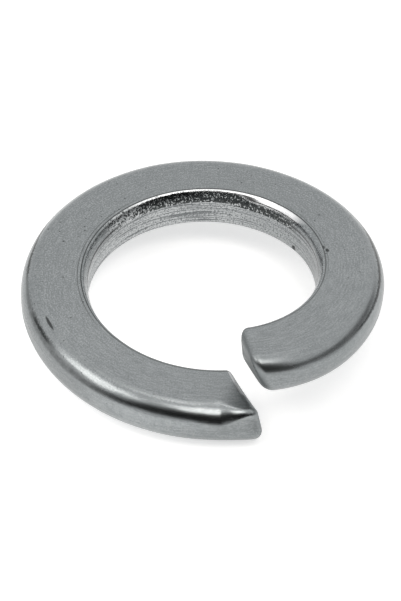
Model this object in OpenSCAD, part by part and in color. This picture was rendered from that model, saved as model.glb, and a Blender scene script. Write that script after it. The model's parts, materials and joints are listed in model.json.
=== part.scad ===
// Spring lock washer: one turn of flat wire wound as a left-hand helix, with a round bore,
// rolled outer corners and two sheared ends that stand apart in height.
// The bore's axis is Z, the lowest point of the free spring is at Z = 0, and the gap is at -Y.

/* [Band] */
// Diameter of the bore
bore_d = 20.6; // [20.2:0.1:21.2]
// Width of the band, from the bore to the outer edge
band_w = 6; // [5.8:0.1:6.2]
// Thickness of the band
band_t = 4; // [3.8:0.1:4.2]
// Height of the free spring, from its lowest to its highest point
free_h = 8.7; // [8.3:0.1:9.4]

/* [Corners] */
// Radius of the two outer corners
outer_corner = 1.8; // [0.8:0.1:1.8]
// Width of the rounded border that each face has round the bore
bore_border = 0.65; // [0.4:0.05:0.8]
// Slope of that border where it leaves the face, in degrees
border_start = 25; // [10:5:35]
// Slope of that border where it reaches the bore's wall, in degrees
border_end = 70; // [60:5:75]

/* [Ends] */
// Width of the gap between the two ends, seen from above at the middle of the band
gap_w = 0.24; // [0.2:0.01:1.5]
// Turn of the upper end's cut away from the radius, in degrees
upper_skew = 2.4; // [0:0.1:10]
// Turn of the lower end's cut away from the radius, in degrees
lower_skew = 12.4; // [0:0.1:15]
// Lean of the upper end's cut away from upright at the bore, in degrees
upper_lean_in = 8; // [0:1:15]
// Lean of the upper end's cut away from upright at the outer edge, in degrees
upper_lean_out = 21; // [0:1:25]
// Lean of the lower end's cut away from upright, in degrees
lower_lean = 3.5; // [0:0.1:8]
// Rounding of the upper end's edges at the bore
upper_round_in = 1; // [0.5:0.05:1]
// Rounding of the upper end's edges at the outer side
upper_round_out = 0.7; // [0.4:0.05:0.9]
// Rounding of the lower end's edges at the bore
lower_round_in = 0.5; // [0.4:0.05:1]
// Rounding of the lower end's edges at the outer side
lower_round_out = 0.8; // [0.4:0.05:0.9]
// How far the outer side of the upper end draws in
upper_taper = 0.85; // [0:0.05:1]
// How far the outer side of the lower end springs out
lower_spread = 0.35; // [0:0.05:0.6]
// How far the upper outer corner of the lower end is pressed in by the cut
tip_press = 0.5; // [0:0.05:0.9]
// Radius that is left of that corner at the cut
tip_corner = 0.95; // [0.6:0.05:1.5]

/* [Hidden] */

steel = [0.56, 0.575, 0.58];

bore_r = bore_d / 2;
outer_r = bore_r + band_w;
mid_r = bore_r + band_w / 2;

// Angles are in degrees of turn from -Y, anticlockwise from above: the upper end is near 0 and
// the lower end near 360.
turn_per_mm = 180 / PI / mid_r;         // turn along the middle of the band
taper_turn = 32;                        // length of the stretch that draws in at the upper end
spread_turn = 18;                       // length of the stretch that springs out at the lower end
press_turn = 11;                        // length of the pressed corner at the lower end
upper_round = [upper_round_in, upper_round_out];
lower_round = [lower_round_in, lower_round_out];

// The wire falls evenly from the top of the free spring to its foot.
top_point = [outer_r - outer_corner, band_t / 2];
foot_point = [outer_r - outer_corner, -band_t / 2];
top_turn = upper_cut(top_point) + round_turn(upper_round, top_point);
foot_turn = lower_cut(foot_point) - round_turn(lower_round, foot_point);
fall = (free_h - band_t) / (foot_turn - top_turn);

bore_cut = 0.2;                         // what the bore takes off the wire's inner side
ring_step = 3;                          // degrees between two rings of the coil
outer_steps = 8;                        // facets in a quarter turn of an outer corner
least_corner = 0.15;                    // smallest radius of the pressed corner in the end's rounding
border_steps = 4;                       // facets across a bore border, the last of them crossing the wall
round_steps = 5;                        // rings in the rounding of an end

// Points on an arc about [r, z], from one angle to another.
function arc(centre, radius, from, to, steps) =
    [for (i = [0:steps])
        let (a = from + (to - from) * i / steps)
        centre + radius * [cos(a), sin(a)]];

// Share of the way from the bore to the outer edge.
function share_out(p) = min(max((p[0] - bore_r) / band_w, 0), 1);

// The value at the section's point p of something that goes from pair[0] at the bore to pair[1]
// at the outer edge.
function between(pair, p) = pair[0] + (pair[1] - pair[0]) * share_out(p);

// Section of the wire as [radius, height above its middle]. Its sides are drawn in by the share
// inset of the roundings, and its upper outer corner is pressed in by press. Its inner side lies
// inside the bore, by bore_cut.
function section(inset, roundings, press) =
    let (
        half_in = band_t / 2 - inset * roundings[0],
        half_out = band_t / 2 - inset * roundings[1],
        outer = outer_r - inset * roundings[1],
        inner = bore_r - bore_cut + inset * (roundings[0] + bore_cut),
        low_corner = outer_corner - inset * roundings[1],
        high_corner = max(low_corner + (tip_corner - outer_corner) * press, least_corner),
        high_outer = outer - tip_press * press,
        border = bore_border / (cos(90 - border_end) - cos(90 - border_start)),
        border_z = half_in - border * cos(border_start),
        border_r = inner + bore_cut + border * sin(border_end),
        border_last = border_end - (border_end - border_start) / border_steps,
        under_z = border_z + border * cos(border_end) - bore_cut * tan(border_end)
    )
    concat(
        arc([high_outer - high_corner, half_out - high_corner], high_corner, 0, 90, outer_steps),
        arc([border_r, border_z], border, 90 + border_start, 90 + border_last, border_steps - 1),
        [[inner, under_z], [inner, -under_z]],
        arc([border_r, -border_z], border, 270 - border_last, 270 - border_start, border_steps - 1),
        arc([outer - low_corner, low_corner - half_out], low_corner, 270, 360, outer_steps)
    );

// Turn at which a cut passes the section's point p, from the turn at the section's middle.
function cut_turn(p, skew, lean) =
    turn_per_mm * ((p[0] - mid_r) * tan(skew) - p[1] * tan(lean));
function upper_cut(p) = cut_turn(p, upper_skew, between([upper_lean_in, upper_lean_out], p));
function lower_cut(p) = 360 - gap_w * turn_per_mm + cut_turn(p, lower_skew, lower_lean);

// Turn that the rounding of an end takes up at the section's point p.
function round_turn(roundings, p) = turn_per_mm * between(roundings, p);

// The section's point p at a turn of the coil.
function coil_point(p, turn) =
    let (
        taper = upper_taper * pow(max(taper_turn - turn, 0) / taper_turn, 2),
        spread = lower_spread * pow(max(turn - 360 + spread_turn, 0) / spread_turn, 2),
        r = p[0] + (spread - taper) * share_out(p),
        z = free_h - band_t / 2 - fall * (turn - top_turn) + p[1]
    )
    [r * sin(turn), -r * cos(turn), z];

// A ring of the rounding of an end, at an angle that goes from 0 at the cut to 90 at the coil.
function upper_ring(angle) =
    [for (p = section(1 - sin(angle), upper_round, 0))
        coil_point(p, upper_cut(p) + round_turn(upper_round, p) * (1 - cos(angle)))];
function lower_ring(angle) =
    [for (p = section(1 - sin(angle), lower_round, 1))
        coil_point(p, lower_cut(p) - round_turn(lower_round, p) * (1 - cos(angle)))];

// A ring along the coil, at a share of the way from the upper to the lower end.
function coil_ring(t) =
    let (press = max(t * 360 - 360 + press_turn, 0) / press_turn)
    [for (p = section(0, upper_round, press))
        let (
            from = upper_cut(p) + round_turn(upper_round, p),
            to = lower_cut(p) - round_turn(lower_round, p)
        )
        coil_point(p, from + (to - from) * t)];

coil_steps = ceil((foot_turn - top_turn) / ring_step);
round_angles = [for (i = [0:round_steps - 1]) 90 * i / round_steps];
rings = concat(
    [for (angle = round_angles) upper_ring(angle)],
    [for (i = [0:coil_steps]) coil_ring(i / coil_steps)],
    [for (i = [round_steps - 1:-1:0]) lower_ring(round_angles[i])]
);

// Closed skin over a row of rings, with a flat face over each end.
module skin(rings) {
    count = len(rings[0]);
    last = len(rings) - 1;
    sides = [for (i = [0:last - 1], j = [0:count - 1])
        let (k = (j + 1) % count)
        [i * count + j, i * count + k, (i + 1) * count + k, (i + 1) * count + j]];
    first_face = [for (j = [count - 1:-1:0]) j];
    last_face = [for (j = [0:count - 1]) last * count + j];
    polyhedron(points = [for (ring = rings) each ring], faces = concat(sides, [first_face, last_face]),
        convexity = 4);
}

module spring_washer() {
    color(steel)
    difference() {
        skin(rings);
        translate([0, 0, -1])
            cylinder(d = bore_d, h = free_h + 2, $fn = 120);
    }
}

spring_washer();
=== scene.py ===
import json
import math
from types import SimpleNamespace

import bpy
import numpy as np
from mathutils import Matrix, Vector


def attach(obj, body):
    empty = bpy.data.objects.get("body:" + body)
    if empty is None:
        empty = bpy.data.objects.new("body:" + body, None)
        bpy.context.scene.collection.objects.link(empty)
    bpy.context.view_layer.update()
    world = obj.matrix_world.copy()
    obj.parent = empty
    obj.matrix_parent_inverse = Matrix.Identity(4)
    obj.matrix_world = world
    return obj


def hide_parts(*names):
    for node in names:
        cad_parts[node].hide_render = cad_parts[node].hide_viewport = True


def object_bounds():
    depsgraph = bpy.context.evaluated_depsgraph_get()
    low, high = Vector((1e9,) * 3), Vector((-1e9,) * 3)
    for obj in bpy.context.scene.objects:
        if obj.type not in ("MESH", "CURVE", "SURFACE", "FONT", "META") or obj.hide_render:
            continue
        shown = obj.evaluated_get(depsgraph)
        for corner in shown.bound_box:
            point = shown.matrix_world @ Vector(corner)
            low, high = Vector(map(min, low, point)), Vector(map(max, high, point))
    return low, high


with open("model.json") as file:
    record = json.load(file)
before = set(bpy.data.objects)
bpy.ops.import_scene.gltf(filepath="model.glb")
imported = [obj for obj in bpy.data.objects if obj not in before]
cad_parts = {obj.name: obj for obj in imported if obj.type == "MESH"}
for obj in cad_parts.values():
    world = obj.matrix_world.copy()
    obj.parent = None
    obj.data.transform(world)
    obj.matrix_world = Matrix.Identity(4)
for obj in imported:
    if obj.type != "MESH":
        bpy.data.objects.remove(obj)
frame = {"record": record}
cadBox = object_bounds()
boreMount = next(m for m in frame["record"]["mounts"] if m["name"] == "bore")
mm = 0.001
print("frame loaded")


washer = {                                      # lengths in mm, turns and slopes in degrees
    "boreRadius": boreMount["dims"]["r_mm"],
    "bandWidth": 6.0,
    "bandThickness": 4.0,
    "freeHeight": cadBox[1].z / mm,
    "outerCorner": 1.8,                         # radius of the rolled outer corners
    "borderWidth": 0.56,                        # rolled border round the bore, seen on the face
    "borderDepth": 1.12,                        # how far that border goes down the bore's wall
    "lowerDepth": 0.60,                         # the same for the border underneath
    "borderShares": (0, 0.12, 0.24, 0.5, 0.62, 0.88, 1),
    "borderSlopes": (10, 22, 54, 60, 63, 70, 88),       # slopes of the border at those shares of it
    "flatSlopes": (10, 16, 22, 30, 60, 84, 88),         # the same where the border is flattened
    "flatTurns": (64, 90, 129, 144),            # where that stretch begins, is flat, and ends
    "lipWidth": 0.38,                           # narrow flat that dips before the border
    "lipDrop": 0.02,
    "endShrink": 0.5,                           # share that border and lip lose per mm of an end's inset
    "gap": 0.24,                                # gap between the cuts at the middle of the band
    "upperSkew": 2.4,                           # turn of a cut away from the radius
    "lowerSkew": 12.4,
    "upperLean": (8.0, 21.0),                   # lean away from upright, at the bore and outside
    "lowerLean": (3.5, 3.5),
    "upperRound": (1.0, 0.7),                   # rounding of a cut's edges, at the bore and outside
    "lowerRound": (0.5, 0.8),
    "taper": 0.85,                              # the upper end's outer side draws in
    "taperTurn": 32.0,
    "spread": 0.35,                             # the lower end's outer side springs out
    "spreadTurn": 18.0,
    "press": 0.5,                               # the lower end's upper corner is pressed in
    "pressTurn": 10.0,
    "pressBlend": 0.35,                         # share of that length over which the press sets in
    "pressCorner": 0.7,                         # radius that is left of that corner
    "facetTurn": 13.0,                          # length of the facet on the lower end's face
    "facetTilt": 2.5,                           # its slope down to the cut
    "facetBlend": 3.0,                          # turn over which the face bends into it
    "facetHeight": 1.6,                         # height above the wire's middle from which it is whole
    "kinkTurn": 350.5,                          # place of the broad corner before the press
    "kinkLength": 5.0,
    "kinkReach": 0.24,                          # how much wider the corner is there
    "swellFade": 0.3,                           # distance from the bore over which the swell sets in
}

mesh = {                                        # how fine the grid is
    "rings": 640,
    "crowding": 0.6,                            # how much closer the rings lie at the ends
    "roundRows": 9,
    "capRows": 9,
    "wall": 8,
    "corner": 20,
    "face": 26,
    "lip": 4,
    "border": 22,
    "bore": 10,
    "lowerBorder": 8,
    "lowerLip": 2,
    "underside": 10,
    "lowerCorner": 12,
}

outerRadius = washer["boreRadius"] + washer["bandWidth"]
midRadius = washer["boreRadius"] + washer["bandWidth"] / 2
mmPerTurn = math.radians(midRadius)             # length of one degree at the middle of the band


def smooth(x, low, high):
    # 3t^2 - 2t^3 with t the share of the way from low to high, kept within 0 to 1
    t = np.clip((x - low) / (high - low), 0, 1)
    return t * t * (3 - 2 * t)


def hump(x, middle, reach):
    # exp(-d^2) with d the distance from the middle over the reach
    return np.exp(-((x - middle) / reach) ** 2)


def steps(count):
    # shares of a stretch, from 0 up to but not including 1, as one row
    return (np.arange(count) / count)[None, :]


def line(start, end, count):
    # start + (end - start) t
    t = steps(count)
    return start[0] + (end[0] - start[0]) * t, start[1] + (end[1] - start[1]) * t


def arc(centre, wide, high, fromAngle, toAngle, count):
    # centre + (wide cos a, high sin a), with a going from one angle to the other
    a = np.radians(fromAngle + (toAngle - fromAngle) * steps(count))
    return centre[0] + wide * np.cos(a), centre[1] + high * np.sin(a)


def rolled(top, width, depth, flat, count):
    # running sums of cos and sin of the border's slope, stretched to its width and depth; the slope
    # goes from the steep list to the flat list by the share flat
    t = (np.arange(count) + 0.5) / count
    steep = np.interp(t, washer["borderShares"], washer["borderSlopes"])
    low = np.interp(t, washer["borderShares"], washer["flatSlopes"])
    slope = np.radians(steep + (low - steep) * flat)
    inward = np.cumsum(np.cos(slope), axis=1)
    down = np.cumsum(np.sin(slope), axis=1)
    inward = np.hstack([0 * flat, inward[:, :-1]]) / inward[:, -1:]
    down = np.hstack([0 * flat, down[:, :-1]]) / down[:, -1:]
    return top[0] - width * inward, top[1] - depth * down


def between(pair, share):
    # the first value at the bore, the second outside
    return pair[0] + (pair[1] - pair[0]) * share


def shareOut(r):
    # share of the way from the bore to the outer edge
    return np.clip((r - washer["boreRadius"]) / washer["bandWidth"], 0, 1)


def sectionRows(inset, insetOut, press, reach, flat):
    # section of the wire in radius and height above its middle, one row a ring, drawn in by the insets at
    # the bore and outside: outer wall, corner, face, lip, border and bore wall, then the same underneath
    half = washer["bandThickness"] / 2 - inset
    halfOut = washer["bandThickness"] / 2 - insetOut
    outer = outerRadius - insetOut
    inner = washer["boreRadius"] + inset
    low = washer["outerCorner"] - insetOut
    high = low + (washer["pressCorner"] - washer["outerCorner"]) * press * (2 - press)
    side = outer - washer["press"] * press
    wide = high * (1 + reach)
    shrink = 1 - washer["endShrink"] * inset
    width = washer["borderWidth"] * shrink
    depth = washer["borderDepth"] * shrink
    drop = washer["lipDrop"] * shrink
    lip = inner + width + washer["lipWidth"] * shrink
    crease = (inner + width, half - drop)
    border = rolled(crease, width, depth - drop, flat, mesh["border"])
    lowerDepth = washer["lowerDepth"] * shrink
    lowerBorder = rolled(crease, width, lowerDepth - drop, 0 * flat, mesh["lowerBorder"] + 1)
    stretches = [
        ("wall", line((outer, low - halfOut), (side, halfOut - high), mesh["wall"])),
        ("corner", arc((side - wide, halfOut - high), wide, high, 0, 90, mesh["corner"])),
        ("face", line((side - wide, halfOut), (lip, half), mesh["face"])),
        ("lip", line((lip, half), crease, mesh["lip"])),
        ("border", border),
        ("bore", line((inner, half - depth), (inner, lowerDepth - half), mesh["bore"])),
        ("border", (lowerBorder[0][:, :0:-1], -lowerBorder[1][:, :0:-1])),
        ("lip", line((inner + width, drop - half), (lip, -half), mesh["lowerLip"])),
        ("face", line((lip, -half), (outer - low, -halfOut), mesh["underside"])),
        ("corner", arc((outer - low, low - halfOut), low, low, 270, 360, mesh["lowerCorner"])),
    ]
    r = np.hstack([np.broadcast_to(p[0], (len(inset), p[0].shape[1])) for name, p in stretches])
    z = np.hstack([np.broadcast_to(p[1], (len(inset), p[1].shape[1])) for name, p in stretches])
    kinds = [(name, p[0].shape[1]) for name, p in stretches]
    return r, z, kinds


def cutTurn(r, z, place, skew, lean):
    # turn at which a cut crosses the wire: its place, plus the distance out times the skew's tangent,
    # less the height times the tangent of a lean, which goes from its bore value to its outer value
    leaning = np.tan(np.radians(between(lean, shareOut(r))))
    return (place + (r - midRadius) * math.tan(math.radians(skew)) - z * leaning) / mmPerTurn


def upperCut(r, z):
    # the upper end's cut, which crosses the middle of the band at no turn
    return cutTurn(r, z, 0, washer["upperSkew"], washer["upperLean"])


def lowerCut(r, z):
    # the lower end's cut, which crosses it the gap's width before a whole turn
    return 360 + cutTurn(r, z, -washer["gap"], washer["lowerSkew"], washer["lowerLean"])


def roundTurn(pair, r):
    # turn that the rounding of an end takes up at that radius
    return between(pair, shareOut(r)) / mmPerTurn


# the wire falls evenly from the top of the free spring to its foot
edgeRadius = outerRadius - washer["outerCorner"]
topTurn = upperCut(edgeRadius, washer["bandThickness"] / 2) + roundTurn(washer["upperRound"], edgeRadius)
footTurn = lowerCut(edgeRadius, -washer["bandThickness"] / 2) - roundTurn(washer["lowerRound"], edgeRadius)
fall = (washer["freeHeight"] - washer["bandThickness"]) / (footTurn - topTurn)


def placed(r, z, turn):
    # point of the coil: the section turned about Z and falling evenly; its outer side draws in at the
    # upper end and springs out at the lower one, by the square of the share of that stretch, and the
    # face bends down to the cut
    taper = washer["taper"] * (np.maximum(washer["taperTurn"] - turn, 0) / washer["taperTurn"]) ** 2
    sprung = np.maximum(turn - 360 + washer["spreadTurn"], 0) / washer["spreadTurn"]
    spread = washer["spread"] * sprung ** 2
    radius = r + (spread - taper) * shareOut(r)
    past = np.maximum(turn - 360 + washer["facetTurn"], 0)
    bent = past ** 2 / (past + washer["facetBlend"]) * mmPerTurn
    drop = bent * math.tan(math.radians(washer["facetTilt"])) * smooth(z, 0, washer["facetHeight"])
    height = washer["freeHeight"] - washer["bandThickness"] / 2 - fall * (turn - topTurn) + z - drop
    angle = np.radians(turn)
    return np.stack([radius * np.sin(angle), -radius * np.cos(angle), height], axis=-1)


def washerGrid():
    # rows: the upper cut from its middle out, its rounded edge, the coil, the lower cut's rounded edge,
    # and that cut back to its middle; a sine brings the rings closer at the ends, and at the share p of
    # its length the press has gone p^2 (1 + b) / (p + b), b being the share of its blend
    even = np.linspace(0, 1, mesh["rings"])[:, None]
    share = even - mesh["crowding"] * np.sin(2 * np.pi * even) / (2 * np.pi)
    pressed = np.maximum(share * 360 - 360 + washer["pressTurn"], 0) / washer["pressTurn"]
    press = pressed ** 2 * (1 + washer["pressBlend"]) / (pressed + washer["pressBlend"])
    reach = washer["kinkReach"] * hump(share * 360, washer["kinkTurn"], washer["kinkLength"])
    flatTurns = washer["flatTurns"]
    flat = smooth(share * 360, *flatTurns[:2]) * (1 - smooth(share * 360, *flatTurns[2:]))
    r, z, kinds = sectionRows(0 * share, 0 * share, press, reach, flat)
    start = upperCut(r, z) + roundTurn(washer["upperRound"], r)
    turn = start + (lowerCut(r, z) - roundTurn(washer["lowerRound"], r) - start) * share

    angle = np.radians(90 * np.arange(mesh["roundRows"]) / mesh["roundRows"])[:, None]
    inset = 1 - np.sin(angle)
    none = 0 * angle
    upperInsets = [inset * depth for depth in washer["upperRound"]]
    upR, upZ, _ = sectionRows(*upperInsets, none, none, none)
    upTurn = upperCut(upR, upZ) + (1 - np.cos(angle)) * roundTurn(washer["upperRound"], upR)
    lowerInsets = [inset * depth for depth in washer["lowerRound"]]
    downR, downZ, _ = sectionRows(*lowerInsets, none + 1, none, none)
    downTurn = lowerCut(downR, downZ) - (1 - np.cos(angle)) * roundTurn(washer["lowerRound"], downR)

    part = (np.arange(1, mesh["capRows"] + 1) / (mesh["capRows"] + 1))[:, None]
    capUpR = midRadius + (upR[:1] - midRadius) * part
    capUpZ = upZ[:1] * part
    capDownR = midRadius + (downR[:1] - midRadius) * part[::-1]
    capDownZ = downZ[:1] * part[::-1]

    allR = np.vstack([capUpR, upR, r, downR[::-1], capDownR])
    allZ = np.vstack([capUpZ, upZ, z, downZ[::-1], capDownZ])
    capUpTurn = upperCut(capUpR, capUpZ)
    capDownTurn = lowerCut(capDownR, capDownZ)
    allTurn = np.vstack([capUpTurn, upTurn, turn, downTurn[::-1], capDownTurn])
    cut = np.vstack([0 * part + 1, np.cos(angle), 0 * share, np.cos(angle[::-1]), 0 * part + 1])
    return allR, allZ, allTurn, kinds, cut


def gridNormals(points):
    # cross product of the grid's two directions over its length, the section being closed on itself
    along = np.gradient(points, axis=0)
    around = np.roll(points, -1, axis=1) - np.roll(points, 1, axis=1)
    normal = np.cross(along, around)
    return normal / np.maximum(np.linalg.norm(normal, axis=-1, keepdims=True), 1e-9)


def softNoise(points, cell, seed):
    # value noise: random numbers on a lattice of that cell, picked by a sum of primes times the place in
    # the lattice, and blended with the smooth step in three directions
    size = 4096
    primes = (7919, 104729, 15485863)
    table = np.random.default_rng(seed).random(size) * 2 - 1
    scaled = points / np.asarray(cell)
    base = np.floor(scaled).astype(int)
    part = scaled - base
    part = part * part * (3 - 2 * part)
    total = np.zeros(points.shape[:-1])
    for corner in np.ndindex(2, 2, 2):
        key = ((base + corner) * primes).sum(axis=-1) % size
        weight = np.prod(np.where(np.array(corner) == 1, part, 1 - part), axis=-1)
        total += weight * table[key]
    return total


swells = [                                      # unevenness: height, cell along, out and up, seed
    (0.012, (2.6, 1.9, 1.9), 3),
    (0.004, (0.8, 0.6, 0.6), 4),
]

dents = [                                       # middle, half lengths along, out and up, depth, darkness
    {"turn": 278.1, "radius": 14.83, "height": 2.0, "size": (0.78, 0.13, 0.6), "depth": 0.09, "ink": 0.9},
    {"turn": 81.9, "radius": 10.98, "height": 2.0, "size": (0.30, 0.12, 0.5), "depth": -0.03, "ink": 0.8},
    {"turn": 79.3, "radius": 11.22, "height": 2.0, "size": (0.30, 0.16, 0.5), "depth": -0.05, "ink": 0.95},
    {"turn": 106.25, "radius": 10.3, "height": -1.31, "size": (0.34, 0.5, 0.26), "depth": 0.12, "ink": 1},
    {"turn": 250.2, "radius": 15.9, "height": 1.6, "size": (0.16, 0.22, 0.3), "depth": 0.06, "ink": 0.5},
]


def dentDepth(along, r, z):
    # sum of depth exp(-(a^2 + b^2 + c^2)), each distance measured in the dent's own half lengths
    total = np.zeros(along.shape)
    for dent in dents:
        a = (along - dent["turn"] * mmPerTurn) / dent["size"][0]
        b = (r - dent["radius"]) / dent["size"][1]
        c = (z - dent["height"]) / dent["size"][2]
        total += dent["depth"] * np.exp(-(a * a + b * b + c * c))
    return total


def closedSkin(name, points, attributes):
    # quads between the rows, the columns joined into a ring, and a fan of triangles over each end, whose
    # middle point has the mean of the end row's place and attributes
    rows, columns = points.shape[:2]
    first = points[0].mean(axis=0)
    last = points[-1].mean(axis=0)
    everyPoint = np.vstack([points.reshape(-1, 3), first, last])
    index = np.arange(rows * columns).reshape(rows, columns)
    beside = np.roll(index, -1, axis=1)
    quads = np.stack([index[:-1], index[1:], beside[1:], beside[:-1]], axis=-1).reshape(-1, 4)
    firstPole = np.full(columns, rows * columns)
    startFan = np.stack([firstPole, index[0], beside[0]], axis=-1)
    endFan = np.stack([firstPole + 1, beside[-1], index[-1]], axis=-1)
    faces = quads.tolist() + startFan.tolist() + endFan.tolist()
    data = bpy.data.meshes.new(name)
    data.from_pydata((everyPoint * mm).tolist(), [], faces)
    for key, values in attributes.items():
        full = np.vstack([values.reshape(-1, 3), values[0].mean(axis=0), values[-1].mean(axis=0)])
        layer = data.attributes.new(key, "FLOAT_VECTOR", "POINT")
        layer.data.foreach_set("vector", full.astype(np.float32).ravel())
    data.polygons.foreach_set("use_smooth", np.ones(len(data.polygons), bool))
    data.update()
    piece = bpy.data.objects.new(name, data)
    bpy.context.scene.collection.objects.link(piece)
    return piece


def columnMask(kinds, wanted, rows):
    # square root of a sine across each stretch of that kind, 0 at its sides and 1 in its middle
    parts = []
    for name, count in kinds:
        rise = np.sin(np.pi * (np.arange(count) + 0.5) / count) ** 0.5
        parts.append(rise if name == wanted else np.zeros(count))
    return np.broadcast_to(np.concatenate(parts)[None, :], (rows, sum(c for _, c in kinds)))


def makeWasher():
    # the coil's points, moved along their normals by the swell less the depth of the dents
    r, z, turn, kinds, cut = washerGrid()
    points = placed(r, z, turn)
    normals = gridNormals(points)
    along = turn * mmPerTurn
    wire = np.stack([along, r, z], axis=-1)
    swell = sum(height * softNoise(wire, cell, seed) for height, cell, seed in swells)
    outside = np.clip((r - washer["boreRadius"]) / washer["swellFade"], 0, 1)
    points = points + normals * (swell * outside - dentDepth(along, r, z))[..., None]
    rows = len(r)
    corner = columnMask(kinds, "corner", rows)
    border = columnMask(kinds, "border", rows)
    finish = np.stack([corner, border, np.broadcast_to(cut, r.shape)], axis=-1)
    return closedSkin("springWasher", points, {"wire": wire, "finish": finish})


springWasher = makeWasher()
print("washer made:", len(springWasher.data.polygons), "faces")


class Link:                                     # a socket that takes part in Python sums
    def __init__(self, graph, socket):
        self.graph = graph
        self.socket = socket

    def __add__(self, other):
        return self.graph.math("ADD", self, other)

    def __mul__(self, other):
        return self.graph.math("MULTIPLY", self, other)

    def __sub__(self, other):
        return self.graph.math("SUBTRACT", self, other)

    def __rsub__(self, other):
        return self.graph.math("SUBTRACT", other, self)

    def __pow__(self, other):
        return self.graph.math("POWER", self, other)

    __radd__ = __add__
    __rmul__ = __mul__

    def beside(self, name):                     # another output of the same node
        return Link(self.graph, self.socket.node.outputs[name])


class Graph:                                    # the node tree of one material or of the world
    def __init__(self, owner):
        owner.use_nodes = True
        self.tree = owner.node_tree
        self.tree.nodes.clear()

    def node(self, kind, settings=None, sockets=None, output=0):
        # settings come first, then a value or a link for each socket; it gives one of the outputs
        made = self.tree.nodes.new("ShaderNode" + kind)
        for key, value in (settings or {}).items():
            setattr(made, key, value)
        for key, value in (sockets or {}).items():
            if isinstance(value, Link):
                self.tree.links.new(value.socket, made.inputs[key])
            else:
                made.inputs[key].default_value = value
        return Link(self, made.outputs[output]) if made.outputs else made

    def math(self, operation, a, b=0.0):
        return self.node("Math", {"operation": operation}, {0: a, 1: b})

    def vector(self, operation, a, b=(0, 0, 0), output=0):
        return self.node("VectorMath", {"operation": operation}, {0: a, 1: b}, output)

    def smooth(self, value, low, high):         # the smooth step again, on a socket
        return self.node("MapRange", {"interpolation_type": "SMOOTHSTEP"},
                         {"Value": value, "From Min": low, "From Max": high})

    def near(self, value, middle, reach):       # 1 at the middle, 0 from the reach on, on both sides
        return 1 - self.smooth(self.math("ABSOLUTE", value - middle), 0.0, reach)

    def window(self, value, low, high, soft):   # 1 from low to high, with soft borders outside them
        return self.smooth(value, low - soft, low) * (1 - self.smooth(value, high, high + soft))

    def mix(self, factor, a, b):                # colours, a where the factor is 0
        return self.node("Mix", {"data_type": "RGBA"}, {0: factor, 6: a, 7: b}, 2)

    def stretch(self, vector, scale):           # each part of the vector times its own scale
        return self.vector("MULTIPLY", vector, scale)

    def noise(self, vector, scale, detail=2.0, rough=0.5):
        return self.node("TexNoise", {}, {
            "Vector": vector, "Scale": scale, "Detail": detail, "Roughness": rough,
        })


noises = {                                      # scale per mm, detail, roughness, stretch (along, out, up)
    "mottle": (0.55, 3.0, 0.6, (1, 1, 1)),
    "patches": (2.6, 3.0, 0.65, (1, 1, 1)),
    "grain": (7.0, 2.0, 0.6, (1, 1, 1)),
    "drawn": (6.0, 2.0, 0.6, (0.12, 1, 1)),
    "sand": (4.6, 2.0, 0.7, (1, 1, 1)),
    "threads": (4.5, 2.0, 0.7, (0.02, 0, 1)),
    "streaks": (7.0, 2.0, 0.7, (0.6, 0, 1)),
}

zones = {                                       # where a share rises: from and to, in mm or in turn
    "upper": (0.6, 1.2),
    "wall": (15.9, 16.2),
    "borderEdge": (0.50, 0.57),                 # beyond the bore's radius
    "boreEdge": (-0.04, 0.04),
    "underEdge": (-0.9, -0.5),                  # height of the border underneath
    "underReach": (0.05, 0.5),                  # width of the bore's finish on the face, and more there
    "upperEnd": (6, 22),
    "back": (120, 240, 90),                     # a window: from, to, and soft border
}


def wireSurface(graph):
    # where a point lies on the wire (turn in degrees, distance out and height in mm), the shares that
    # follow from that, and the noises
    at = SimpleNamespace()
    at.wire = graph.node("Attribute", {"attribute_name": "wire"}, {}, "Vector")
    finish = graph.node("Attribute", {"attribute_name": "finish"}, {}, "Vector")
    at.corner = graph.node("SeparateXYZ", {}, {0: finish})
    at.border = at.corner.beside("Y")
    at.cut = at.corner.beside("Z")
    along = graph.node("SeparateXYZ", {}, {0: at.wire})
    at.turn = along * (1 / mmPerTurn)
    at.out = along.beside("Y")
    at.high = along.beside("Z")
    at.fromBore = at.out - washer["boreRadius"]
    at.back = graph.window(at.turn, *zones["back"])
    at.upper = graph.smooth(at.high, *zones["upper"])
    at.wall = graph.smooth(at.out, *zones["wall"])
    at.upperEnd = 1 - graph.smooth(at.turn, *zones["upperEnd"])
    at.inBorder = 1 - graph.smooth(at.fromBore, *zones["borderEdge"])
    reach, more = zones["underReach"]
    reach = reach + more * (1 - graph.smooth(at.high, *zones["underEdge"]))
    at.inBore = 1 - graph.smooth(at.fromBore - reach, *zones["boreEdge"])
    for name, (scale, detail, rough, stretch) in noises.items():
        setattr(at, name, graph.noise(graph.stretch(at.wire, stretch), scale, detail, rough))
    return at


tones = {                                       # shares of the way from the shade colour to the light one
    "grain": (0.5, 0.6),                        # its weight, and what the back adds to it
    "drawn": 0.35,
    "back": -0.3,
    "contrast": (0.28, 0.64),
    "corner": (0.6, 0.4),                       # pull of the rolled corners, and the tone it is towards
    "mottle": 0.35,
    "patches": (0.25, 0.6, 0.25),               # on the faces, and what the wall and the back add
    # painted shade: the outer wall's tone is lowered all round
    "wall": -0.2,
    "leftWall": (0.27, (220, 325, 20)),         # painted light on the left of the outer wall: tone, and window of turn
    # painted shade over the back of the washer
    "rear": (-0.13, (110, 255, 35)),
    # painted shade on the outer rim at the back
    "rearRim": (-0.4, (72, 215, 20)),
    "rimZone": (15.6, 15.9),
    # painted shade on the upper end's cut
    "upperCut": -0.45,
}


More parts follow.
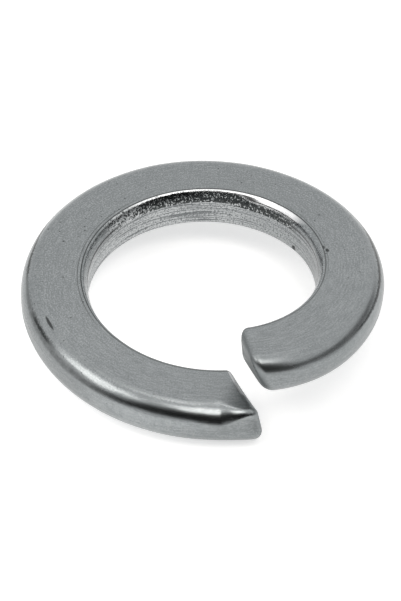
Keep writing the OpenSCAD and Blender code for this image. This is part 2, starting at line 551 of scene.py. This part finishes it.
def zincTone(graph, at):
    # 0 where the zinc has its shade colour, 1 where it is light: the smooth step of the grain and the
    # drawn lines, pulled to one tone on the corners, then the clouds, painted light on the left of the outer
    # wall, and painted shade on the rest of the wall, at the back, on the back of the rim and on the upper
    # cut
    weight, more = tones["grain"]
    raw = at.grain * (weight + more * at.back) + at.drawn * tones["drawn"] + at.back * tones["back"]
    tone = graph.smooth(raw, *tones["contrast"])
    pull, cornerTone = tones["corner"]
    tone = tone + at.corner * pull * (cornerTone - tone)
    tone = tone + (at.mottle - 0.5) * tones["mottle"]
    onFace, onWall, onBack = tones["patches"]
    tone = tone + (at.patches - 0.5) * (onFace + onWall * at.wall + onBack * at.back)
    # painted light on the left of the outer wall, painted shade on the rest of it
    added, turns = tones["leftWall"]
    tone = tone + at.wall * (added * graph.window(at.turn, *turns) + tones["wall"])
    # painted shade at the back
    added, turns = tones["rear"]
    tone = tone + added * graph.window(at.turn, *turns)
    # painted shade on the outer rim at the back
    added, turns = tones["rearRim"]
    tone = tone + added * graph.smooth(at.out, *tones["rimZone"]) * graph.window(at.turn, *turns)
    # painted shade on the upper end's cut
    return tone + tones["upperCut"] * at.cut * at.upperEnd


paintedRimBand = {                                     # painted dark reflection: a line round the upper outer corner
    "height": 1.58,
    "frontDrop": (0.3, (10, 100)),              # how much lower it begins, and over which turns it rises
    "leftDrop": (0.04, (215, 240)),             # how much it falls on the left, and over which turns
    "dip": 0.4,
    "dips": ((214, 28), (108, 26)),             # middle and reach of each dip, in turn
    "ragged": 0.3,
    "reach": 0.16,
    "backReach": 0.10,
    "fine": (226, 258, 8),                      # window of turn in which the back adds no reach
    "edge": (15.0, 15.3),
    "turns": (42, 280, 12),
    "dark": 0.95,
    "backDark": 0.3,
    "faint": (0.65, (257, 268, 8)),             # what it loses, and where
}


def paintedRimReflection(graph, at):
    # painted dark reflection: a line at the rim's height, which rises from the front, dips twice and has a
    # ragged border
    drop, turns = paintedRimBand["frontDrop"]
    height = paintedRimBand["height"] - drop * (1 - graph.smooth(at.turn, *turns))
    drop, turns = paintedRimBand["leftDrop"]
    height = height - drop * graph.smooth(at.turn, *turns)
    for middle, reach in paintedRimBand["dips"]:
        height = height - paintedRimBand["dip"] * graph.near(at.turn, middle, reach)
    wider = paintedRimBand["backReach"] * at.back * (1 - graph.window(at.turn, *paintedRimBand["fine"]))
    ragged = (at.grain - 0.5) * paintedRimBand["ragged"]
    rim = graph.near(at.high + ragged - height, 0.0, paintedRimBand["reach"] + wider)
    rim = rim * graph.smooth(at.out, *paintedRimBand["edge"]) * graph.window(at.turn, *paintedRimBand["turns"])
    loss, turns = paintedRimBand["faint"]
    rim = rim * (1 - loss * graph.window(at.turn, *turns))
    return rim * (paintedRimBand["dark"] + paintedRimBand["backDark"] * at.back)


faceLines = [                                   # dark lines on the face, at a distance from the bore
    {"from": washer["borderWidth"] + 0.05, "reach": 0.09, "turns": (-90, 450, 12),
     "dark": 0.6, "backDark": 0.5},
    {"from": 0.93, "reach": 0.08, "turns": (205, 280, 12), "dark": 0.55, "backDark": 0.0},
    {"from": 0.86, "reach": 0.07, "turns": (66, 112, 12), "dark": 0.35, "backDark": 0.0},
]

borderLines = [                                 # dark lines along the foot of the border
    {"height": 1.03, "reach": 0.18, "turns": (216, 292, 14), "dark": 1.0},
    {"height": 1.0, "reach": 0.16, "turns": (58, 128, 14), "dark": 0.9},
]

paintedFootShade = {                                    # painted shade: a dark line at the foot of the outer wall
    "height": -1.56,
    "reach": 0.14,
    "edge": (14.5, 15.0),
    "behind": (60, 300, 25),                    # window of turn without it
    "dark": 0.6,
}


def darkLines(graph, at):
    # sum of the lines on the face, at the border's foot, and the painted dark reflection round the rim
    onFace = 0.0
    for mark in faceLines:
        stroke = graph.near(at.fromBore, mark["from"], mark["reach"]) * graph.window(at.turn, *mark["turns"])
        onFace = stroke * (mark["dark"] + mark["backDark"] * at.back) + onFace
    onBorder = 0.0
    for mark in borderLines:
        stroke = graph.near(at.high, mark["height"], mark["reach"]) * graph.window(at.turn, *mark["turns"])
        onBorder = stroke * mark["dark"] + onBorder
    return onFace * at.upper + onBorder * at.inBorder + paintedRimReflection(graph, at)


def paintedFootShadeShare(graph, at):
    # painted shade: one line at a height of the outer wall, in front only
    stroke = graph.near(at.high, paintedFootShade["height"], paintedFootShade["reach"])
    stroke = stroke * graph.smooth(at.out, *paintedFootShade["edge"]) * paintedFootShade["dark"]
    return stroke * (1 - graph.window(at.turn, *paintedFootShade["behind"]))


paintedHighlightPlaces = {                                   # painted highlight on the upper part of the border at the back
    "height": 1.79,
    "rise": (0.06, (150, 180)),                 # how much it rises, and over which turns
    "dip": (0.4, (112, 136, 10)),
    "ragged": 0.5,
    "edge": 0.08,
    "turns": (112, 196, 12),
    "stripEdge": (0.15, 0.5, 0.12),             # painted highlight, a strip on the lower cut's rounded edge
    "stripTurns": (350, 362, 1),
    "stripOut": (11.0, 13.4, 0.5),
    "stripShare": 0.7,
}


def burnish(graph, at):
    # painted highlight: 1 on the border above a ragged height, which dips at one side and rises towards the
    # other
    rise, turns = paintedHighlightPlaces["rise"]
    height = paintedHighlightPlaces["height"] + rise * graph.smooth(at.turn, *turns)
    dip, turns = paintedHighlightPlaces["dip"]
    height = height - dip * graph.window(at.turn, *turns) + (at.sand - 0.5) * paintedHighlightPlaces["ragged"]
    onBorder = at.inBorder * graph.window(at.turn, *paintedHighlightPlaces["turns"])
    return graph.smooth(at.high - height, 0.0, paintedHighlightPlaces["edge"]) * onBorder


def paintedCutHighlight(graph, at):
    # painted highlight: product of shares: on the rounding of the cut, at the lower end, out from the bore,
    # and above
    strip = graph.window(at.cut, *paintedHighlightPlaces["stripEdge"]) * graph.window(at.turn, *paintedHighlightPlaces["stripTurns"])
    return strip * graph.window(at.out, *paintedHighlightPlaces["stripOut"]) * at.upper * paintedHighlightPlaces["stripShare"]


paintedDarkBand = {                                    # painted dark reflection and shade, with light specks: a band under the painted highlight
    "lowest": 0.84,
    "dip": (0.3, (112, 138, 12)),
    "turns": (114, 212, 12),
    "density": 0.55,
    "thinning": (0.12, (186, 206)),
    "edge": 0.06,
    "dark": 0.93,
}


def paintedDarkBandShares(graph, at, paintedHighlightShare):
    # the painted band's place on the border, and its dark share, which is 1 where the sand is below the
    # density
    dip, turns = paintedDarkBand["dip"]
    lowest = paintedDarkBand["lowest"] - dip * graph.window(at.turn, *turns)
    onBorder = at.inBorder * (1 - paintedHighlightShare) * graph.window(at.turn, *paintedDarkBand["turns"])
    band = graph.smooth(at.high - lowest, -paintedDarkBand["edge"], 0.0) * onBorder
    thinner, turns = paintedDarkBand["thinning"]
    density = paintedDarkBand["density"] - thinner * graph.smooth(at.turn, *turns)
    return band, graph.smooth(density - at.sand, -paintedDarkBand["edge"], 0.0)


inkBlot = {                                     # how the darkening lies over the dents
    "scale": 6.0,
    "ragged": (0.12, 0.04, 0.12),
    "shift": (0.06, 0.02, 0.06),                # half of that, because the noise is 0.5 on the whole
    "edge": (0.7, 1.3),
}


def dentInk(graph, at):
    # sum of the dents' darkness, each 1 inside an ellipsoid and fading over its edge, with a ragged border
    ragged = graph.stretch(graph.noise(at.wire, inkBlot["scale"]).beside("Color"), inkBlot["ragged"])
    point = graph.vector("ADD", at.wire, ragged)
    total = 0.0
    for dent in dents:
        middle = np.add((dent["turn"] * mmPerTurn, dent["radius"], dent["height"]), inkBlot["shift"])
        offset = graph.vector("SUBTRACT", point, tuple(middle))
        offset = graph.stretch(offset, tuple(1 / size for size in dent["size"]))
        distance = graph.vector("LENGTH", offset, output="Value")
        total = dent["ink"] * (1 - graph.smooth(distance, *inkBlot["edge"])) + total
    return total


pitting = {                                     # small round pits
    "scale": 1.9,                               # cells per mm
    "radius": 0.22,                             # of the largest pits, in cells
    "edge": 0.05,
    "marked": (0.3, 0.7),                       # how marked they are, and what the back adds
    "dark": 0.75,
}


def pits(graph, at):
    # 1 where the distance to a cell's point is less than the largest radius times the square of a random
    # number
    cell = graph.node("TexVoronoi", {}, {"Vector": at.wire, "Scale": pitting["scale"]}, "Distance")
    rare = graph.node("SeparateXYZ", {}, {0: cell.beside("Color")}) ** 2.0
    marked, more = pitting["marked"]
    return graph.smooth(pitting["radius"] * rare - cell, 0.0, pitting["edge"]) * (marked + more * at.back)


zinc = {                                        # colours are linear
    "shade": (0.215, 0.230, 0.234, 1),
    "light": (0.365, 0.382, 0.388, 1),
    "bore": (0.52, 0.535, 0.54, 1),
    "boreLine": (0.16, 0.17, 0.175, 1),
    # white of the painted highlights
    "burnish": (0.82, 0.825, 0.83, 1),
    # near-black of the pits, dark lines and dents, and of the painted dark reflections and shade
    "pit": (0.03, 0.034, 0.034, 1),
    "specular": 0.2,                            # gloss of the darkened dents and of the dulled places
    "bumpStrength": 0.35,
    "bumpDistance": 0.02,                       # in mm
}

boreFinish = {                                  # the bore's light wall: where each share rises
    "dull": (0.5, (40, 125, 30)),               # what the right side loses, and its window of turn
    "threads": (0.5, 0.62),
    "grooves": ((0.62, 0.08, 0.9), (-0.03, 0.07, 0.8), (-0.46, 0.05, 0.6)),     # height, reach, darkness
    "sand": (0.30, 0.45),
    "streaks": (0.47, 0.62),
}


def boreColour(graph, at, colour):
    # the bore's light wall, with threads and grooves that the sand breaks up, and short streaks
    loss, turns = boreFinish["dull"]
    colour = graph.mix(at.inBore * (1 - loss * graph.window(at.turn, *turns)), colour, zinc["bore"])
    lines = graph.smooth(at.threads, *boreFinish["threads"])
    for height, reach, dark in boreFinish["grooves"]:
        lines = dark * graph.near(at.high, height, reach) + lines
    lines = lines * graph.smooth(at.sand, *boreFinish["sand"])
    colour = graph.mix(at.inBore * lines, colour, zinc["boreLine"])
    streaks = graph.smooth(at.streaks, *boreFinish["streaks"])
    return graph.mix(at.inBore * streaks, colour, zinc["boreLine"])


shadeDulling = {                                        # where the surface is less of a mirror; on the outer side as painted shade
    "edge": (15.5, 15.9),
    "turns": (80, 295, 25),
    "least": 0.35,
    "worn": 0.8,
    "line": 0.9,
}


def darkMarksAndShadeDulling(graph, at, lines, dentDarkness):
    # sum of the dark lines, the darkened dents and the outer side dulled as painted shade, 1 at most
    worn = graph.smooth(at.out, *shadeDulling["edge"]) * graph.window(at.turn, *shadeDulling["turns"])
    worn = worn * (shadeDulling["least"] + at.patches)
    return graph.math("MINIMUM", lines * shadeDulling["line"] + dentDarkness + worn * shadeDulling["worn"], 1.0)


satin = {                                       # roughness of the finish
    "face": 0.36,
    "corner": 0.23,
    "border": 0.22,
    "mottle": 0.12,
    "grain": 0.1,
    "cut": 0.18,                                # what the cut ends add
    "upperEnd": 0.05,                           # what the corners have more at the upper end
}


def zincRoughness(at):
    # the faces' roughness with clouds and grain, going to the corners' and the border's own values there,
    # and more on the cuts
    clouds = (at.mottle - 0.5) * satin["mottle"] + (at.grain - 0.5) * satin["grain"]
    rolled = at.corner * (1 - at.cut)
    roughness = satin["face"] + clouds * (1 - at.corner) + rolled * (satin["corner"] - satin["face"])
    roughness = roughness + rolled * at.upperEnd * satin["upperEnd"]
    return roughness + at.border * (satin["border"] - satin["face"]) + at.cut * satin["cut"]


relief = {                                      # heights of the finish, in bump distances
    "grain": (0.6, -0.4),                       # on the faces, and what the corners add
    "mottle": 1.2,
    "drawn": 0.4,
    "pit": -1.5,
    "borderSand": 5.0,
    "threads": 4.0,
}


def zincRelief(at, pit, paintedHighlightShare):
    # grain, clouds, drawn lines and pits, the sand of the border where there is no painted highlight, and of
    # the bore
    grain, onCorner = relief["grain"]
    height = at.grain * (grain + onCorner * at.corner) + at.mottle * relief["mottle"]
    height = height + at.drawn * relief["drawn"] * (1 - at.border) + pit * relief["pit"]
    height = height + at.border * at.sand * relief["borderSand"] * (1 - paintedHighlightShare)
    return height + at.inBore * (at.threads * relief["threads"] + at.sand)


def zincSteel():
    # the colours are laid over one another, each by its own share
    material = bpy.data.materials.new("zincSteel")
    graph = Graph(material)
    at = wireSurface(graph)
    paintedHighlightShare = burnish(graph, at)
    band, paintedDarkShare = paintedDarkBandShares(graph, at, paintedHighlightShare)
    lines = darkLines(graph, at)
    pit = pits(graph, at)
    dentDarkness = dentInk(graph, at)
    colour = graph.mix(zincTone(graph, at), zinc["shade"], zinc["light"])
    colour = boreColour(graph, at, colour)
    # painted highlights on the border and on the lower cut
    colour = graph.mix(paintedHighlightShare, colour, zinc["burnish"])
    colour = graph.mix(paintedCutHighlight(graph, at), colour, zinc["burnish"])
    # the painted dark band: its light specks, then its near-black share with the painted shade at the wall's
    # foot
    colour = graph.mix(band * (1 - paintedDarkShare), colour, zinc["bore"])
    dark = band * paintedDarkShare * paintedDarkBand["dark"] + paintedFootShadeShare(graph, at)
    for share in (dark, lines, pit * pitting["dark"], dentDarkness):
        colour = graph.mix(share, colour, zinc["pit"])
    height = zincRelief(at, pit, paintedHighlightShare)
    bump = graph.node("Bump", {}, {
        "Strength": zinc["bumpStrength"], "Distance": zinc["bumpDistance"] * mm, "Height": height,
    }, "Normal")
    shader = graph.node("BsdfPrincipled", {}, {
        "Base Color": colour, "Metallic": 1 - darkMarksAndShadeDulling(graph, at, lines, dentDarkness),
        "Roughness": zincRoughness(at), "Normal": bump, "Specular IOR Level": zinc["specular"],
    })
    graph.node("OutputMaterial", {}, {"Surface": shader})
    return material


springWasher.data.materials.append(zincSteel())
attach(springWasher, "root")
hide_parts("spring_washer")
print("steel finished")


view = {                                        # the camera, round the bore's axis: degrees and mm
    "azimuth": -20.17,
    "elevation": 42.14,
    "roll": -3.56,
    "distance": 160.83,
    "height": 4.324,                            # height of the point that it circles
    "aimRight": -0.117,                         # where it looks, beside that point
    "aimUp": -1.49,
    "lens": 106.6,
    "clip": (0.005, 20.0),                      # nearest and farthest that it sees, in m
}


def direction(azimuth, elevation):
    # unit vector at that azimuth from -Y, anticlockwise from above, and that height above the floor
    a = np.radians(azimuth)
    e = np.radians(elevation)
    return np.stack([np.sin(a) * np.cos(e), -np.cos(a) * np.cos(e), np.sin(e)], axis=-1)


def makeCamera():
    # a camera on a sphere round the pivot, rolled about that direction, aimed a little beside the pivot
    back = Vector(direction(view["azimuth"], view["elevation"]))
    right = Vector(direction(view["azimuth"] + 90, 0))
    up = back.cross(right)
    turned = Matrix.Rotation(math.radians(-view["roll"]), 3, back)
    pivot = Vector((0, 0, view["height"] * mm))
    place = pivot + back * view["distance"] * mm
    aim = pivot + (turned @ right) * view["aimRight"] * mm + (turned @ up) * view["aimUp"] * mm
    axisZ = (place - aim).normalized()
    axisX = (turned @ up).cross(axisZ).normalized()
    axisY = axisZ.cross(axisX)
    data = bpy.data.cameras.new("camera")
    data.lens = view["lens"]
    data.clip_start, data.clip_end = view["clip"]
    camera = bpy.data.objects.new("camera", data)
    axes = Matrix((axisX, axisY, axisZ)).transposed()
    camera.matrix_world = Matrix.Translation(place) @ axes.to_4x4()
    bpy.context.scene.collection.objects.link(camera)
    bpy.context.scene.camera = camera


studio = {                                      # lengths in m
    "lampColour": (1.0, 0.975, 0.94),
    "floorSize": 4.0,
    "floorColour": (0.90, 0.90, 0.90, 1),
    "floorRoughness": 0.9,
    "glowLeft": (0.66, 0.66, 0.66, 1),          # what the floor adds for the rays that look at it
    "glowRight": (0.48, 0.48, 0.48, 1),
    "glowFade": (-0.016, 0.0),                  # where the left glow passes into the right one
    "ambient": 0.62,                            # strength of the world for the rays that light the washer
}


def seenRay(graph):
    # 1 on the rays that look at the background: camera, glossy and transmission rays
    camera = graph.node("LightPath", {}, {}, "Is Camera Ray")
    seen = camera + camera.beside("Is Glossy Ray") + camera.beside("Is Transmission Ray")
    return graph.math("MINIMUM", seen, 1.0)


def makeFloor():
    # a square with a glow that goes from left to right by the smooth step, for the rays that look at it
    half = studio["floorSize"] / 2
    data = bpy.data.meshes.new("floor")
    corners = [(-half, -half, 0), (half, -half, 0), (half, half, 0), (-half, half, 0)]
    data.from_pydata(corners, [], [(0, 1, 2, 3)])
    floor = bpy.data.objects.new("floor", data)
    bpy.context.scene.collection.objects.link(floor)
    material = bpy.data.materials.new("paleFloor")
    graph = Graph(material)
    across = graph.node("SeparateXYZ", {}, {0: graph.node("TexCoord", {}, {}, "Object")})
    glow = graph.mix(graph.smooth(across, *studio["glowFade"]), studio["glowLeft"], studio["glowRight"])
    glow = graph.mix(seenRay(graph), (0, 0, 0, 1), glow)
    shader = graph.node("BsdfPrincipled", {}, {
        "Base Color": studio["floorColour"], "Roughness": studio["floorRoughness"],
        "Specular IOR Level": 0.0, "Emission Color": glow, "Emission Strength": 1.0,
    })
    graph.node("OutputMaterial", {}, {"Surface": shader})
    data.materials.append(material)


def makeWorld():
    # white: strength 1 for the rays that look at it, and the ambient strength for the others
    world = bpy.data.worlds.new("studio")
    bpy.context.scene.world = world
    graph = Graph(world)
    seen = seenRay(graph)
    strength = studio["ambient"] + seen * (1 - studio["ambient"])
    background = graph.node("Background", {}, {"Color": (1, 1, 1, 1), "Strength": strength})
    graph.node("OutputWorld", {}, {"Surface": background})


softboxes = [                                   # azimuth and elevation in degrees, distance and size in m
    {"azimuth": -92.0, "elevation": 55.0, "distance": 0.5, "size": 0.25, "radiance": 2.3},
    {"azimuth": 8.0, "elevation": 68.0, "distance": 0.5, "size": 0.21, "radiance": 2.9},
    {"azimuth": 150.0, "elevation": 74.0, "distance": 0.5, "size": 0.12, "radiance": 1.8},
]


def makeSoftbox(name, box):
    # a square lamp that looks at the washer; its energy is radiance times pi times its area
    towards = Vector(direction(box["azimuth"], box["elevation"]))
    light = bpy.data.lights.new(name, "AREA")
    light.shape = "SQUARE"
    light.size = box["size"]
    light.color = studio["lampColour"]
    light.energy = box["radiance"] * math.pi * box["size"] ** 2
    lamp = bpy.data.objects.new(name, light)
    turned = towards.to_track_quat("Z", "Y").to_matrix().to_4x4()
    lamp.matrix_world = Matrix.Translation(towards * box["distance"]) @ turned
    lamp.visible_camera = False
    bpy.context.scene.collection.objects.link(lamp)


darkCard = {                                    # what is dark round the washer, seen only in reflections
    "colour": (0.01, 0.01, 0.01, 1),
    "radius": 0.6,                              # in m
    "grid": (97, 40),                           # points round and up
    "azimuths": (-160.0, 130.0),
    "elevations": (0.3, 78.0),
    "inside": 0.8,                              # share of a patch that is wholly dark
    "outside": 1.15,
    "patches": [                                # azimuth, elevation, half width, half height, darkness
        (-16, 36, 47, 24, 1.0),
        (8, 14, 24, 22, 1.0),
        (-20, 66, 36, 20, 0.4),
        (-66, 21, 20, 13, 0.95),
        (-90, 14, 24, 13, 0.95),
        (-114, 5, 24, 12, 0.95),
        (66, 19, 52, 12, 0.75),
    ],
}


def makeDarkCard():
    # part of a sphere; its darkness is 1 less the product of (1 - darkness) over the patches, and each
    # patch fades with the smooth step of sqrt(a^2 + e^2), distances measured in the patch's half sizes
    countRound, countUp = darkCard["grid"]
    azimuth = np.linspace(*darkCard["azimuths"], countRound)[:, None]
    elevation = np.linspace(*darkCard["elevations"], countUp)[None, :]
    points = darkCard["radius"] * direction(azimuth + 0 * elevation, elevation + 0 * azimuth)
    clear = 1.0
    for middleAzimuth, middleElevation, wide, high, darkness in darkCard["patches"]:
        away = np.hypot((azimuth - middleAzimuth) / wide, (elevation - middleElevation) / high)
        clear = clear * (1 - darkness * (1 - smooth(away, darkCard["inside"], darkCard["outside"])))
    rows, columns = points.shape[:2]
    index = np.arange(rows * columns).reshape(rows, columns)
    quads = np.stack([index[:-1, :-1], index[1:, :-1], index[1:, 1:], index[:-1, 1:]], axis=-1)
    data = bpy.data.meshes.new("darkCard")
    data.from_pydata(points.reshape(-1, 3).tolist(), [], quads.reshape(-1, 4).tolist())
    layer = data.attributes.new("solid", "FLOAT", "POINT")
    layer.data.foreach_set("value", (1 - clear).astype(np.float32).ravel())
    card = bpy.data.objects.new("darkCard", data)
    bpy.context.scene.collection.objects.link(card)
    material = bpy.data.materials.new("blackCard")
    graph = Graph(material)
    share = graph.node("Attribute", {"attribute_name": "solid"}, {}, "Fac")
    black = graph.node("BsdfDiffuse", {}, {"Color": darkCard["colour"]})
    seeThrough = graph.node("BsdfTransparent", {}, {})
    mixed = graph.node("MixShader", {}, {0: share, 1: seeThrough, 2: black})
    graph.node("OutputMaterial", {}, {"Surface": mixed})
    data.materials.append(material)
    card.visible_camera = False
    card.visible_diffuse = False
    card.visible_shadow = False


makeCamera()
makeFloor()
makeWorld()
for number, box in enumerate(softboxes):
    makeSoftbox("softbox" + str(number), box)
makeDarkCard()
bpy.context.scene.view_settings.view_transform = "Standard"
print("stage set")
